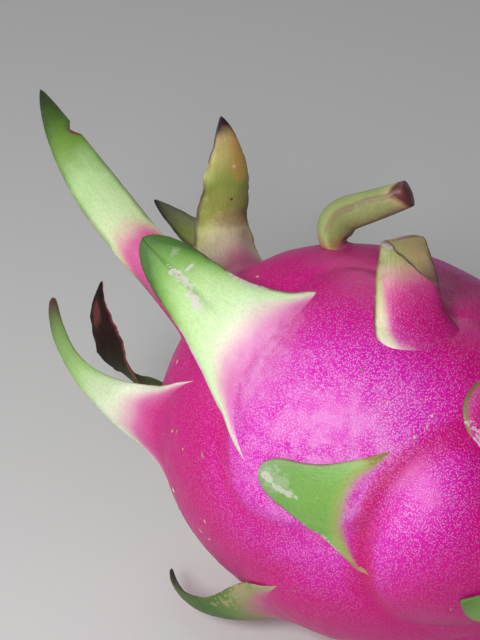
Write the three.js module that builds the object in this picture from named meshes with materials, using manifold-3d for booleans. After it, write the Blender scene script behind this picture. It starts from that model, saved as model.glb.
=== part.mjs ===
// A ripe dragon fruit lying on its side, crown towards -X and a little raised.
// Millimetres, +Z up. The origin is the middle of the flat spot it rests on. CENTRE_HEIGHT is a
// little less than the skin reaches down, which is what makes that spot flat.

import * as THREE from 'three';
import { mergeVertices } from 'three/addons/utils/BufferGeometryUtils.js';
import Module from 'manifold-3d';

// Driving dimensions
const BODY_RADIUS = 43.5;
const CROWN_HALF = 52;
const STEM_HALF = 58;
const CROWN_RAISED = 8;
const CENTRE_HEIGHT = 42.3;
const CENTRE_SHIFT = -2;
const GAP = 0.3;

// The crater round the old flower and the dimple round the stem
const CRATER_DEPTH = 9;
const CRATER_RADIUS = 9;
const DIMPLE_DEPTH = 4;
const DIMPLE_RADIUS = 9;

// The swelling of the skin on the stem side of every bract root
const SWELL_BEHIND = 12;
const SWELL_ALONG = 12;
const SWELL_ACROSS = 15;

// Stem stub and dried flower scar
const STEM_RADIUS = 6.5;
const STEM_LENGTH = 9;
const SCAR_RADIUS = 6;
const SCAR_HEIGHT = 7;

// Mesh fineness
const BODY_AROUND = 56;
const BODY_RINGS = 34;
const BLADE_AROUND = 12;
const BLADE_RINGS = 12;
const BENT_BLADE_RINGS = 20;
const SPINE_STEPS = 60;
const PLUG_AROUND = 20;

// Surfaces as they look: magenta skin, green leaf and brown dried tissue
const SKIN = { color: 0xd62a94, roughness: 0.42, metalness: 0 };
const LEAF = { color: 0x9fc36a, roughness: 0.5, metalness: 0 };
const DRY = { color: 0x6b4a3a, roughness: 0.8, metalness: 0 };

// What a bract is like unless its own entry says otherwise. Lengths in mm, turns in degrees.
// along: root towards the crown from the widest ring; around: 0 on top, 90 at the front.
// base and blade: widths; proud: outer face above the skin at the root; lift, curl and kink: bends
// away from the skin near the root, over the rest and at one place; heading and sway: turns
// sideways; twist: turn about its own length; swell: height of the swelling behind its root.
const USUAL = {
  length: 30, base: 32, blade: 10, thick: 3.6, thinning: 0.75, proud: 1,
  lift: 12, curl: 0, heading: 0, sway: 0, twist: 0,
  kink: 0, kinkAt: 0.5, kinkSpread: 0.1, rootShare: 0.3,
  flare: 0.5, flarePower: 2, tipFrom: 0.6, tipPower: 1.6, tipRound: 0.8,
  cup: 0.02, swell: 3, rings: BLADE_RINGS, surface: LEAF,
};

const BRACTS = [
  { name: 'crown_bract_tall', along: 43, around: 16, length: 82, base: 24, blade: 11.5, lift: 65, curl: -28,
    heading: -25, sway: -27, twist: 5, flare: 0.3, tipFrom: 0.5, tipPower: 1.7, swell: 0,
    rings: BENT_BLADE_RINGS },
  { name: 'crown_bract_bent', along: 40, around: -25.5, length: 41.4, base: 44, blade: 13.5, lift: 113,
    curl: -50, heading: -11.6, sway: -12.6, twist: -21, kink: 33, kinkAt: 0.45, flare: 0.55, tipPower: 1.4,
    swell: 1, rings: BENT_BLADE_RINGS },
  { name: 'crown_bract_far', along: 38, around: -62, length: 41, base: 22, blade: 13, lift: 57, curl: -6,
    heading: 10, sway: -8, twist: -60, tipFrom: 0.5, swell: 0.5 },
  { name: 'shoulder_bract_front', along: 20.5, around: 39, length: 40, base: 46, blade: 15, lift: 14, curl: 9,
    heading: -23, sway: 1, twist: 5, flare: 0.75, flarePower: 2.8, tipFrom: 0.5, tipPower: 2.2, tipRound: 0.6,
    swell: 4.5 },
  { name: 'crown_bract_claw', along: 39.5, around: 83, length: 56, base: 36, blade: 4.4, lift: 36, curl: -33,
    heading: 23, sway: -54, twist: 12, flare: 0.7, tipFrom: 0.75, tipPower: 4, tipRound: 0.5, swell: 1,
    rings: BENT_BLADE_RINGS },
  { name: 'crown_bract_dry', along: 48.5, around: 148, length: 42, base: 16, blade: 10.5, thick: 2.6,
    lift: 55, curl: -80, heading: -10, sway: -10, twist: 64, flare: 0.3, tipFrom: 0.5, swell: 0,
    rings: BENT_BLADE_RINGS, surface: DRY },
  { name: 'top_bract_hooked', along: 20, around: -30, length: 30.3, base: 25, blade: 9, thick: 10,
    thinning: 0.4, lift: 90, curl: -6, heading: 10, twist: -15, kink: 75, kinkAt: 0.42, kinkSpread: 0.12,
    flare: 0.6, flarePower: 1.3, tipFrom: 0.9, tipPower: 6, tipRound: 0.4, swell: 0.5,
    rings: BENT_BLADE_RINGS },
  { name: 'top_bract_folded', along: -11, around: 20, length: 43, base: 24.5, blade: 10, lift: 32,
    heading: -40, sway: -11, kink: 128, kinkAt: 0.6, flare: 0.6, flarePower: 1.2, swell: 2.5,
    rings: BENT_BLADE_RINGS },
  { name: 'side_bract_front', along: -10.5, around: 67, length: 22, base: 35.5, blade: 10.5, lift: -6,
    curl: -5, heading: -2.5, twist: -4, flare: 0.74, tipFrom: 0.55, tipPower: 2.4, tipRound: 0.5,
    swell: 6 },
  { name: 'low_bract_front', along: 1.5, around: 124, length: 42, base: 32, blade: 9, lift: 28.5, curl: -69,
    heading: 22, sway: 11.5, twist: 10, flare: 0.52, flarePower: 1.5, tipFrom: 0.4, swell: 1.5,
    rings: BENT_BLADE_RINGS },
  { name: 'top_bract_rear', along: -31.5, around: 26, length: 12.5, base: 30, blade: 16, lift: 4,
    tipFrom: 0.2, tipPower: 2, tipRound: 0.5, swell: 2 },
  { name: 'stem_bract_front', along: -47.5, around: 91, length: 20, base: 26, blade: 10, lift: 7,
    heading: -14, sway: -7, swell: 2 },
  { name: 'crown_bract_under', along: 42, around: 208, length: 20, base: 22, blade: 9, lift: 12, curl: -20,
    swell: 1.5 },
  { name: 'crown_bract_back', along: 39, around: 262, length: 22, base: 24, blade: 10, lift: 18, curl: -30,
    swell: 1.5 },
  { name: 'shoulder_bract_under', along: 20, around: 178, length: 28, base: 30, blade: 11, lift: 12, curl: -8,
    swell: 1 },
  { name: 'shoulder_bract_low_back', along: 16, around: 232, length: 36, base: 34, blade: 12, lift: 20 },
  { name: 'shoulder_bract_back', along: 12, around: 284, length: 32, base: 36, blade: 13, lift: 10,
    curl: -6 },
  { name: 'side_bract_low_back', along: -12, around: 214, length: 22, base: 28, blade: 10, lift: 2, curl: -4,
    swell: 2 },
  { name: 'side_bract_back', along: -14, around: 262, length: 30, base: 34, blade: 11, lift: 8, swell: 3.5 },
  { name: 'side_bract_high_back', along: -14, around: 292, length: 26, base: 34, blade: 12, lift: 2,
    curl: -6 },
  { name: 'rear_bract_under', along: -32, around: 148, length: 22, base: 28, blade: 10, lift: 2, curl: -4,
    swell: 2.5 },
  { name: 'rear_bract_low_back', along: -36, around: 232, length: 26, base: 28, lift: 8, swell: 2.5 },
  { name: 'rear_bract_back', along: -36, around: 290, length: 28, base: 30, blade: 11, lift: 14 },
  { name: 'rear_bract_high_back', along: -36, around: 338, length: 28, base: 28, blade: 11, lift: 12,
    curl: 4 },
  { name: 'stem_bract_low', along: -52, around: 192, length: 15, base: 22, blade: 9, lift: 0, curl: -6,
    swell: 1 },
  { name: 'stem_bract_back', along: -52, around: 262, length: 20, base: 22, blade: 9, lift: 8, swell: 1.5 },
  { name: 'stem_bract_top', along: -52, around: 12, length: 20, base: 22, blade: 9, lift: 10, swell: 1.5 },
].map((entry) => ({ ...USUAL, ...entry }));

const radians = THREE.MathUtils.degToRad;
const smooth = (x, from, to) => THREE.MathUtils.smoothstep(x, from, to);

const wasm = await Module();
wasm.setup();

// The plain egg under the swellings: where a spot lies, which way is out and which way is crown
function eggFrame(polar, around) {
  const half = Math.cos(polar) >= 0 ? CROWN_HALF : STEM_HALF;
  const ring = new THREE.Vector3(-Math.sin(around), 0, Math.cos(around));
  const point = ring.clone().multiplyScalar(BODY_RADIUS * Math.sin(polar));
  point.y = half * Math.cos(polar);
  const normal = ring.clone().multiplyScalar(Math.sin(polar) / BODY_RADIUS);
  normal.y = Math.cos(polar) / half;
  normal.normalize();
  const across = new THREE.Vector3(-Math.cos(around), 0, -Math.sin(around));
  const crownward = new THREE.Vector3().crossVectors(across, normal);
  return { point, normal, crownward, across };
}

const polarAt = (along) => Math.acos(along / (along >= 0 ? CROWN_HALF : STEM_HALF));

// Middle of each swelling, with its own directions
const swellings = BRACTS.filter((bract) => bract.swell > 0).map((bract) => {
  const back = Math.max(bract.along - SWELL_BEHIND, 2 - STEM_HALF);
  return { height: bract.swell, ...eggFrame(polarAt(back), radians(bract.around)) };
});

function swellAt(point) {
  const away = new THREE.Vector3();
  return swellings.reduce((sum, { height, point: middle, crownward, across }) => {
    away.subVectors(point, middle);
    const u = away.dot(crownward) / SWELL_ALONG;
    const v = away.dot(across) / SWELL_ACROSS;
    const w = (away.lengthSq() / (SWELL_ALONG * SWELL_ACROSS)) - u * u - v * v;
    return sum + height * Math.exp(-u * u - v * v - Math.max(0, w));
  }, 0);
}

function skinPoint(polar, around, extra) {
  const { point, normal } = eggFrame(polar, around);
  const spread = Math.hypot(point.x, point.z);
  const crater = point.y > 0 ? CRATER_DEPTH * Math.exp(-((spread / CRATER_RADIUS) ** 2)) : 0;
  const dimple = point.y < 0 ? DIMPLE_DEPTH * Math.exp(-((spread / DIMPLE_RADIUS) ** 2)) : 0;
  point.addScaledVector(normal, swellAt(point) + extra);
  point.y += dimple - crater;
  return point;
}

// Moves every corner of a unit ball: polar angle from +Y, turn angle from +Z towards -X
function reshapedBall(around, rings, place) {
  const ball = new THREE.SphereGeometry(1, around, rings);
  const spots = ball.getAttribute('position');
  const unit = new THREE.Vector3();
  for (let i = 0; i < spots.count; i += 1) {
    unit.fromBufferAttribute(spots, i);
    const spot = place(unit);
    spots.setXYZ(i, spot.x, spot.y, spot.z);
  }
  return ball;
}

function skinGeometry(extra) {
  return reshapedBall(BODY_AROUND, BODY_RINGS, (unit) => {
    const polar = Math.acos(THREE.MathUtils.clamp(unit.y, -1, 1));
    return skinPoint(polar, Math.atan2(-unit.x, unit.z), extra);
  });
}

// Share of the length over which a bract's twist comes in
const TWIST_FROM = 0.15;
const TWIST_TO = 0.65;

// Line down the middle of a bract, with the way it runs and the way its outer face looks
function bractSpine(bract) {
  const { point, normal, crownward } = eggFrame(polarAt(bract.along), radians(bract.around));
  const out = normal.clone();
  const way = crownward.clone().applyAxisAngle(out, radians(bract.heading));
  const spot = point.clone().addScaledVector(out, swellAt(point) + bract.proud - bract.thick / 2);
  const stations = [{ spot: spot.clone(), way: way.clone(), out: out.clone() }];
  const side = new THREE.Vector3();
  for (let step = 0; step < SPINE_STEPS; step += 1) {
    const share = (step + 0.5) / SPINE_STEPS;
    const inRoot = share < bract.rootShare;
    let bend = inRoot ? bract.lift / bract.rootShare : bract.curl / (1 - bract.rootShare);
    const fromKink = Math.abs(share - bract.kinkAt) / bract.kinkSpread;
    if (fromKink < 1) {
      bend += bract.kink * (1 + Math.cos(Math.PI * fromKink)) / (2 * bract.kinkSpread);
    }
    side.crossVectors(way, out).normalize();
    way.applyAxisAngle(side, radians(bend / SPINE_STEPS));
    out.applyAxisAngle(side, radians(bend / SPINE_STEPS));
    way.applyAxisAngle(out, radians(bract.sway / SPINE_STEPS));
    const turned = smooth(share + 0.5 / SPINE_STEPS, TWIST_FROM, TWIST_TO);
    const turnedBefore = smooth(share - 0.5 / SPINE_STEPS, TWIST_FROM, TWIST_TO);
    out.applyAxisAngle(way, radians(bract.twist * (turned - turnedBefore)));
    spot.addScaledVector(way, bract.length / SPINE_STEPS);
    stations.push({ spot: spot.clone(), way: way.clone(), out: out.clone() });
  }
  return stations;
}

function halfWidth(bract, share) {
  const toTip = THREE.MathUtils.clamp((share - bract.tipFrom) / (1 - bract.tipFrom), 0, 1);
  const blade = 0.5 * bract.blade * (1 - toTip ** bract.tipPower) ** bract.tipRound;
  const flare = 0.5 * (bract.base - bract.blade) * Math.max(0, 1 - share / bract.flare) ** bract.flarePower;
  return blade + flare;
}

// Cupped like the skin at the root, as its own entry says from here on
const CUP_SETTLED = 0.5;

function bractGeometry(bract, extra) {
  const stations = bractSpine(bract);
  const ringRadius = BODY_RADIUS * Math.sin(polarAt(bract.along));
  const side = new THREE.Vector3();
  return reshapedBall(BLADE_AROUND, bract.rings, (unit) => {
    const polar = Math.acos(THREE.MathUtils.clamp(unit.y, -1, 1));
    const share = 1 - polar / Math.PI;
    const { spot, way, out } = stations[Math.round(share * SPINE_STEPS)];
    const round = Math.hypot(unit.x, unit.z);
    if (round < 1e-6) return spot.clone();
    const settled = smooth(share, 0, CUP_SETTLED);
    const cup = (1 - settled) * 0.5 / ringRadius + settled * bract.cup;
    const x = (halfWidth(bract, share) + extra) * unit.x / round;
    const thick = 0.5 * bract.thick * (1 - bract.thinning * share) + extra;
    side.crossVectors(way, out).normalize();
    return spot.clone().addScaledVector(side, x).addScaledVector(out, thick * unit.z / round - cup * x * x);
  });
}

function toSolid(geometry) {
  const bare = geometry.clone();
  bare.deleteAttribute('normal');
  bare.deleteAttribute('uv');
  const welded = mergeVertices(bare, 1e-4);
  return new wasm.Manifold(new wasm.Mesh({
    numProp: 3,
    vertProperties: new Float32Array(welded.getAttribute('position').array),
    triVerts: new Uint32Array(welded.index.array),
  }));
}

function largestPiece(solid) {
  return solid.decompose().reduce((best, piece) => (piece.volume() > best.volume() ? piece : best));
}

function toMesh(solid, name, surface) {
  const { vertProperties, triVerts } = solid.getMesh();
  const geometry = new THREE.BufferGeometry();
  geometry.setAttribute('position', new THREE.BufferAttribute(new Float32Array(vertProperties), 3));
  geometry.setIndex(new THREE.BufferAttribute(new Uint32Array(triVerts), 1));
  geometry.computeVertexNormals();
  const mesh = new THREE.Mesh(geometry, new THREE.MeshStandardMaterial(surface));
  mesh.name = name;
  return mesh;
}

// A turned plug on the long axis, from a profile of [radius, along] corners
function plugGeometry(corners) {
  const profile = corners.map(([radius, along]) => new THREE.Vector2(radius, along));
  return new THREE.LatheGeometry(profile, PLUG_AROUND);
}

const fruit = new THREE.Group();
fruit.name = 'fruit';
fruit.rotation.set(0, radians(CROWN_RAISED), Math.PI / 2, 'YZX');
fruit.position.set(CENTRE_SHIFT, 0, CENTRE_HEIGHT);
fruit.updateMatrix();

// Everything below the resting surface is pressed flat
const FLOOR_SIZE = 200;
const floor = new THREE.BoxGeometry(FLOOR_SIZE, FLOOR_SIZE, FLOOR_SIZE);
floor.translate(0, 0, -FLOOR_SIZE / 2);
floor.applyMatrix4(fruit.matrix.clone().invert());

const body = toSolid(skinGeometry(0)).subtract(toSolid(floor));
const clearSkin = toSolid(skinGeometry(GAP));
fruit.add(toMesh(body, 'fruit_body', SKIN));

// Bracts nearer the stem lie over the roots of those nearer the crown
const placed = [];
const stemFirst = [...BRACTS].sort((a, b) => a.along - b.along);
for (const bract of stemFirst) {
  let solid = toSolid(bractGeometry(bract, 0)).subtract(clearSkin);
  for (const other of placed) solid = solid.subtract(other);
  fruit.add(toMesh(largestPiece(solid), bract.name, bract.surface));
  placed.push(toSolid(bractGeometry(bract, GAP)));
}

const stemEnd = -STEM_HALF - STEM_LENGTH + DIMPLE_DEPTH;
const stem = plugGeometry([
  [0, stemEnd], [0.8 * STEM_RADIUS, stemEnd], [0.86 * STEM_RADIUS, stemEnd + 2],
  [STEM_RADIUS, -STEM_HALF + DIMPLE_DEPTH + 3], [0, -STEM_HALF + DIMPLE_DEPTH + 3],
]);
fruit.add(toMesh(largestPiece(toSolid(stem).subtract(clearSkin)), 'stem_stub', DRY));

const scarFoot = CROWN_HALF - CRATER_DEPTH - 2;
const scar = plugGeometry([
  [0, scarFoot], [SCAR_RADIUS, scarFoot], [0.85 * SCAR_RADIUS, scarFoot + 0.6 * SCAR_HEIGHT],
  [0.5 * SCAR_RADIUS, scarFoot + SCAR_HEIGHT], [0, scarFoot + SCAR_HEIGHT],
]);
fruit.add(toMesh(largestPiece(toSolid(scar).subtract(clearSkin)), 'flower_scar', DRY));

const dragonFruit = new THREE.Group();
dragonFruit.name = 'dragon_fruit';
dragonFruit.add(fruit);
export default dragonFruit;
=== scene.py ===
# %% [markdown]
# # A ripe dragon fruit
# A magenta egg of a fruit lies on its side, crown to the left, with leaf-like bracts growing out of
# low swellings in the skin. We first load the measured frame, because every piece must sit where the
# solid model says. The scene is in metres and +Z is up.

# %% Frame
import math
from types import SimpleNamespace

import bpy
import numpy as np
from mathutils import Matrix, Vector, noise


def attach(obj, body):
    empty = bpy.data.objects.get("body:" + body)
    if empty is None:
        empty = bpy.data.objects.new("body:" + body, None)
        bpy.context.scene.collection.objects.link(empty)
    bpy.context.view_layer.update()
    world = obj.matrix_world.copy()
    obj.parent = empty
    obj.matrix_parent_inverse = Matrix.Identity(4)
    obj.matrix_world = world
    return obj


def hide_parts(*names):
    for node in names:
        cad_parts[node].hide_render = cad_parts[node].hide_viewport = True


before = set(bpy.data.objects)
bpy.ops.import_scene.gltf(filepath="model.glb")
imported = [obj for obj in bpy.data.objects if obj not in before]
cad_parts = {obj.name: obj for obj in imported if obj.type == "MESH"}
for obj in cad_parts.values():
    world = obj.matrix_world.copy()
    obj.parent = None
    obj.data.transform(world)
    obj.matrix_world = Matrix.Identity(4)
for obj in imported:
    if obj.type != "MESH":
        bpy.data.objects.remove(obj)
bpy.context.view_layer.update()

# %% [markdown]
# ## Sizes that drive the shape
# The fruit has its own frame, in millimetres: the crown is along +Y, and "around" is 0 degrees on top
# and 90 at the front. Shapes could be made in place, but a bract is easier to describe from the
# fruit's own axis. One matrix then lays the fruit down: a quarter turn points the crown to -X, and a
# small tilt raises it.

# %% Driving sizes
MM = 0.001
BODY_RADIUS = 43.5
CROWN_HALF = 52.0
STEM_HALF = 58.0
CENTRE = (-2.0, 0.0, 42.3)
CROWN_RAISED = math.radians(8)

lay_down = Matrix.Rotation(CROWN_RAISED, 4, "Y") @ Matrix.Rotation(math.pi / 2, 4, "Z")
fruit_to_world = Matrix.Translation(Vector(CENTRE) * MM) @ lay_down @ Matrix.Scale(MM, 4)
TO_WORLD = np.array(fruit_to_world)


def laid_down(points):
    """Fruit-frame millimetres to world metres."""
    return np.asarray(points) @ TO_WORLD[:3, :3].T + TO_WORLD[:3, 3]


print("fruit centre", [round(c, 4) for c in fruit_to_world.translation])

# %% [markdown]
# ## Camera
# The photo looks down about 35 degrees from the front right, close in, so the stem end leaves the
# picture. The fruit's centre is given as a pixel of the 480 by 640 picture, and the camera aims so
# that it lands there. A lens shift could do the same, but it would stay in every other view.

# %% Camera
PICTURE = (480, 640)
CENTRE_PIXEL = (377, 443)
PIXELS_PER_MM = 4.39
VIEW_AZIMUTH, VIEW_ELEVATION = 27, 35
VIEW_DISTANCE = 420.0
SENSOR = 36.0
CLIP_START = 0.01


def towards(azimuth, elevation):
    """Direction from the fruit to a camera or lamp: degrees to the right of the front, and up."""
    azimuth, elevation = math.radians(azimuth), math.radians(elevation)
    level = math.cos(elevation)
    return Vector((math.sin(azimuth) * level, -math.cos(azimuth) * level, math.sin(elevation)))


back = towards(VIEW_AZIMUTH, VIEW_ELEVATION)
right = towards(VIEW_AZIMUTH + 90, 0)
up = back.cross(right)
off_x, off_y = ((pixel - size / 2) / PIXELS_PER_MM for pixel, size in zip(CENTRE_PIXEL, PICTURE))
aim = (Vector(CENTRE) - right * off_x + up * off_y) * MM

camera_data = bpy.data.cameras.new("camera")
camera_data.sensor_width = SENSOR
camera_data.lens = VIEW_DISTANCE * PIXELS_PER_MM / PICTURE[1] * SENSOR
camera_data.clip_start = CLIP_START
camera = bpy.data.objects.new("camera", camera_data)
facing = Matrix((right, up, back)).transposed().to_4x4()
camera.matrix_world = Matrix.Translation(aim + back * VIEW_DISTANCE * MM) @ facing
bpy.context.collection.objects.link(camera)
bpy.context.scene.camera = camera
bpy.context.scene.view_settings.view_transform = "Standard"
print("lens", round(camera_data.lens, 1), "camera", [round(c, 3) for c in camera.location])

# %% [markdown]
# ## Light
# A lamp close to the lens gives the bright middle, as in the photo. A wide one overhead and one on the
# crown's side keep the shadows soft, and one behind shows the far side. Point lamps would leave hard
# white dots on the waxy skin, so all of them are square softboxes.

# %% Light
LAMPS = (  # name, azimuth and elevation in degrees, distance and size in metres, watts
    ("key_lamp", -2, 40, 0.5, 0.16, 1.98),
    ("top_lamp", -60, 70, 1.0, 0.9, 1.0),
    ("side_lamp", -70, 24, 1.1, 0.7, 2.2),
    ("back_lamp", 195, 30, 1.5, 0.8, 3.0),
)
STUDIO_COLOUR, STUDIO_STRENGTH = (0.9, 0.93, 1.0, 1), 0.1


def softbox(name, azimuth, elevation, distance, size, power):
    """A square lamp that looks at the fruit from that side."""
    away = towards(azimuth, elevation)
    lamp = bpy.data.lights.new(name, "AREA")
    lamp.size = size
    lamp.energy = power
    lamp_object = bpy.data.objects.new(name, lamp)
    lamp_object.location = Vector(CENTRE) * MM + away * distance
    lamp_object.rotation_euler = away.to_track_quat("Z", "Y").to_euler()
    bpy.context.collection.objects.link(lamp_object)


for lamp_sizes in LAMPS:
    softbox(*lamp_sizes)
world = bpy.data.worlds.new("studio")
world.use_nodes = True
world.node_tree.nodes["Background"].inputs["Color"].default_value = STUDIO_COLOUR
world.node_tree.nodes["Background"].inputs["Strength"].default_value = STUDIO_STRENGTH
bpy.context.scene.world = world
print("lamps", len(LAMPS))

# %% [markdown]
# ## One class for all node work
# Finishes and Geometry Nodes are both graphs of small sums. They could be wired by hand in the node
# editor, but a script can be read and changed. The class below wraps one socket, so that a sum of two
# sockets is written as a sum in Python, and one method adds any other node.


# %% Node wires
class Wire:
    """One output socket of a node tree. Plain sums on wires add Math nodes."""

    def __init__(self, tree, socket=None):
        self.tree = tree
        self.socket = socket

    def node(self, kind, settings=None, sockets=None, out=0):
        """Adds a node: its settings first, then the values or links of its sockets."""
        added = self.tree.nodes.new(kind)
        for key, value in (settings or {}).items():
            if key == "stops":
                self.fill_ramp(added.color_ramp, value)
            else:
                setattr(added, key, value)
        for key, value in (sockets or {}).items():
            self.plug(value, self.find(added.inputs, key))
        return Wire(self.tree, self.find(added.outputs, out))

    @staticmethod
    def fill_ramp(ramp, stops):
        while len(ramp.elements) < len(stops):
            ramp.elements.new(0.5)
        for element, (place, colour) in zip(ramp.elements, stops):
            element.position = place
            element.color = colour

    @staticmethod
    def find(sockets, key):
        if isinstance(key, int):
            return sockets[key]
        return next(socket for socket in sockets if socket.name == key and socket.enabled)

    def plug(self, value, socket):
        if isinstance(value, Wire):
            self.tree.links.new(value.socket, socket)
        else:
            socket.default_value = value

    def also(self, key):
        """Another output of the same node."""
        return Wire(self.tree, self.find(self.socket.node.outputs, key))

    def math(self, operation, *terms):
        return self.node("ShaderNodeMath", {"operation": operation}, dict(enumerate(terms)))

    def __add__(self, other):
        return self.math("ADD", self, other)

    def __radd__(self, other):
        return self.math("ADD", other, self)

    def __sub__(self, other):
        return self.math("SUBTRACT", self, other)

    def __rsub__(self, other):
        return self.math("SUBTRACT", other, self)

    def __mul__(self, other):
        return self.math("MULTIPLY", self, other)

    def __rmul__(self, other):
        return self.math("MULTIPLY", other, self)

    def __truediv__(self, other):
        return self.math("DIVIDE", self, other)

    def __pow__(self, other):
        return self.math("POWER", self, other)

    def __abs__(self):
        return self.math("ABSOLUTE", self)

    def eased(self, start, end):
        """0 before start, 1 after end and smooth between."""
        return self.node("ShaderNodeMapRange", {"interpolation_type": "SMOOTHSTEP"},
                         {"Value": self, "From Min": start, "From Max": end}, "Result")

    def tint(self, share, colour, other):
        """colour where share is 0, other where it is 1."""
        return self.node("ShaderNodeMix", {"data_type": "RGBA"}, {0: share, 6: colour, 7: other}, 2)

    def shade(self, share, colour, other):
        """colour where share is 0, colour times other where it is 1."""
        return self.node("ShaderNodeMix", {"data_type": "RGBA", "blend_type": "MULTIPLY"},
                         {0: share, 6: colour, 7: other}, 2)

    def between(self, share, vector, other):
        """vector where share is 0, other where it is 1."""
        return self.node("ShaderNodeMix", {"data_type": "VECTOR"}, {0: share, 4: vector, 5: other}, 1)

    def moved(self, direction, amount):
        """This vector plus so much of a direction."""
        return self.node("ShaderNodeVectorMath", {"operation": "MULTIPLY_ADD"},
                         {0: direction, 1: amount, 2: self})

    def vector(self, *parts):
        return self.node("ShaderNodeCombineXYZ", {}, dict(enumerate(parts)))

    def noise(self, vector, scale, detail):
        return self.node("ShaderNodeTexNoise", {}, {"Vector": vector, "Scale": scale, "Detail": detail})

    def layer(self, name):
        """A number that is stored on the mesh, as a shader reads it."""
        return self.node("ShaderNodeAttribute", {"attribute_name": name}, {}, "Fac")

    def stored(self, name, kind):
        """A number or vector that is stored on the mesh, as Geometry Nodes read it."""
        return self.node("GeometryNodeInputNamedAttribute", {"data_type": kind}, {"Name": name}, "Attribute")


print("node wires take", [name for name in vars(Wire) if not name.startswith("_")])

# %% [markdown]
# ## The bracts as numbers
# A bract is a leaf: it starts on the skin, bends away from it, and narrows to a tip. Modelling 27
# leaves by hand would take long, so each is a few numbers that differ from the usual ones. along and
# around say where its root is, base and blade how wide it is at the root and beyond. lift and curl bend
# it out of the skin and further on, kink folds it at one place, heading and sway turn it sideways, and
# twist rolls it over. flare is the share of the length by which the root has narrowed to the blade, and
# the tip numbers say how it ends. sweep and skew draw the root's wings back towards the stem. swell is
# how high the skin is raised behind the root, because every bract sits on its own swelling.

# %% Usual bract
USUAL = dict(
    length=30, base=32, blade=10, thick=3.6, thinning=0.75, proud=1.0, cup=0.02,
    lift=12, curl=0, kink=0, kink_at=0.5, kink_spread=0.1, heading=0, sway=0, twist=0,
    flare=0.5, flare_power=2, round_root=0.0, sweep=0.5, skew=0.0,
    tip_from=0.6, tip_power=1.6, tip_round=0.8, hook=0.0, notch_at=0.0, notch=0.0,
    swell=3.0, behind=8, cushion=26.0, bloom=0.0, crimson=0.0, finish="fresh")


def bract(name, **own):
    return dict(USUAL, name=name, **own)


print("numbers of a bract", len(USUAL))

# %% [markdown]
# ## The bracts that the photo shows
# Twelve are seen. Their numbers were chosen by laying renders beside the photo: the long strap at the
# upper left, the one that stands up behind it, the large one in the middle, the claw, the dried one,
# the rolled one and the one whose tip is folded over, and those pressed to the skin lower down.

# %% Bracts in the photo
SEEN_BRACTS = [
    bract("crown_bract_tall", along=43, around=16, length=82, base=24, blade=11.5, lift=65, curl=-28,
          heading=-25, sway=-27, twist=5, flare=0.3, tip_from=0.5, tip_power=1.7, swell=0, finish="long",
          notch_at=0.8, notch=0.38),
    bract("crown_bract_bent", along=40, around=-25.5, length=41.4, base=50, blade=13.5, lift=113,
          curl=-50, heading=-11.6, sway=-12.6, twist=-21, kink=33, kink_at=0.45, tip_from=0.6,
          tip_power=1.4, flare=0.62, swell=1, hook=-1.8, finish="sunburnt"),
    bract("crown_bract_far", along=38, around=-62, length=41, base=22, blade=13, lift=57, curl=-6,
          heading=10, sway=-8, twist=-60, tip_from=0.5, swell=0.5, finish="far"),
    bract("shoulder_bract_front", along=20.5, around=39, length=40, base=50, blade=15, lift=14, curl=9,
          heading=-23, sway=1, twist=5, flare=0.75, flare_power=2.8, skew=-1.4, tip_from=0.5,
          tip_power=2.2, tip_round=0.6, swell=4.5, cushion=42.0, bloom=0.45, finish="main"),
    bract("crown_bract_claw", along=39.5, around=83, length=56, base=36, blade=4.4, lift=36, curl=-33,
          heading=23, sway=-54, twist=12, flare=0.7, skew=0.85, tip_from=0.75, tip_power=4,
          tip_round=0.5, swell=1, bloom=0.15, finish="claw"),
    bract("crown_bract_dry", along=48.5, around=148, length=42, base=16, blade=12, thick=2.6, lift=55,
          curl=-80, heading=-10, sway=-10, twist=64, flare=0.3, tip_from=0.5, swell=0, finish="dried"),
    bract("top_bract_hooked", along=20, around=-30, length=30.3, base=25, blade=9, thick=10,
          thinning=0.4, lift=90, curl=-6, kink=75, kink_at=0.42, kink_spread=0.18, heading=10, twist=-15,
          flare=0.6, flare_power=1.3, sweep=0.0, tip_from=0.9, tip_power=6, tip_round=0.4, swell=0.5,
          finish="hooked"),
    bract("top_bract_folded", along=-11, around=20, length=43, base=24.5, blade=10, lift=32, kink=128,
          kink_at=0.6, heading=-40, sway=-11, flare=0.6, flare_power=1.2, sweep=0.0, round_root=0.2,
          tip_from=0.45, tip_power=1.3, swell=2.5, finish="folded"),
    # This leaf has painted crimson shade in the crease behind its root.
    bract("side_bract_front", along=-10.5, around=67, length=22, base=35.5, blade=10.5, lift=-6, curl=-5,
          heading=-2.5, twist=-4, flare=0.74, skew=-0.4, tip_from=0.55, tip_power=2.4, tip_round=0.5,
          swell=6, behind=17, crimson=0.8, finish="pressed"),
    bract("low_bract_front", along=1.5, around=124, length=42, base=36, blade=9, lift=28.5, curl=-69,
          heading=22, sway=11.5, twist=10, flare=0.52, flare_power=1.5, skew=0.5, tip_from=0.4,
          swell=1.5, finish="low"),
    bract("top_bract_rear", along=-31.5, around=26, length=12.5, base=30, blade=16, lift=4, tip_from=0.2,
          tip_power=2, tip_round=0.5, swell=2, finish="rear"),
    bract("stem_bract_front", along=-47.5, around=91, length=20, base=26, blade=10, lift=7, heading=-14,
          sway=-7, swell=2),
]
print("bracts in the photo", len(SEEN_BRACTS))

# %% [markdown]
# ## The bracts on the hidden sides
# The photo doesn't show the back, the underside or the stem end. Bracts sit at about even distances all
# round a fruit, so fifteen plain ones fill those sides, spaced like the ones that are seen. They are
# short and lie close to the skin underneath, where the fruit rests.

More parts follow.
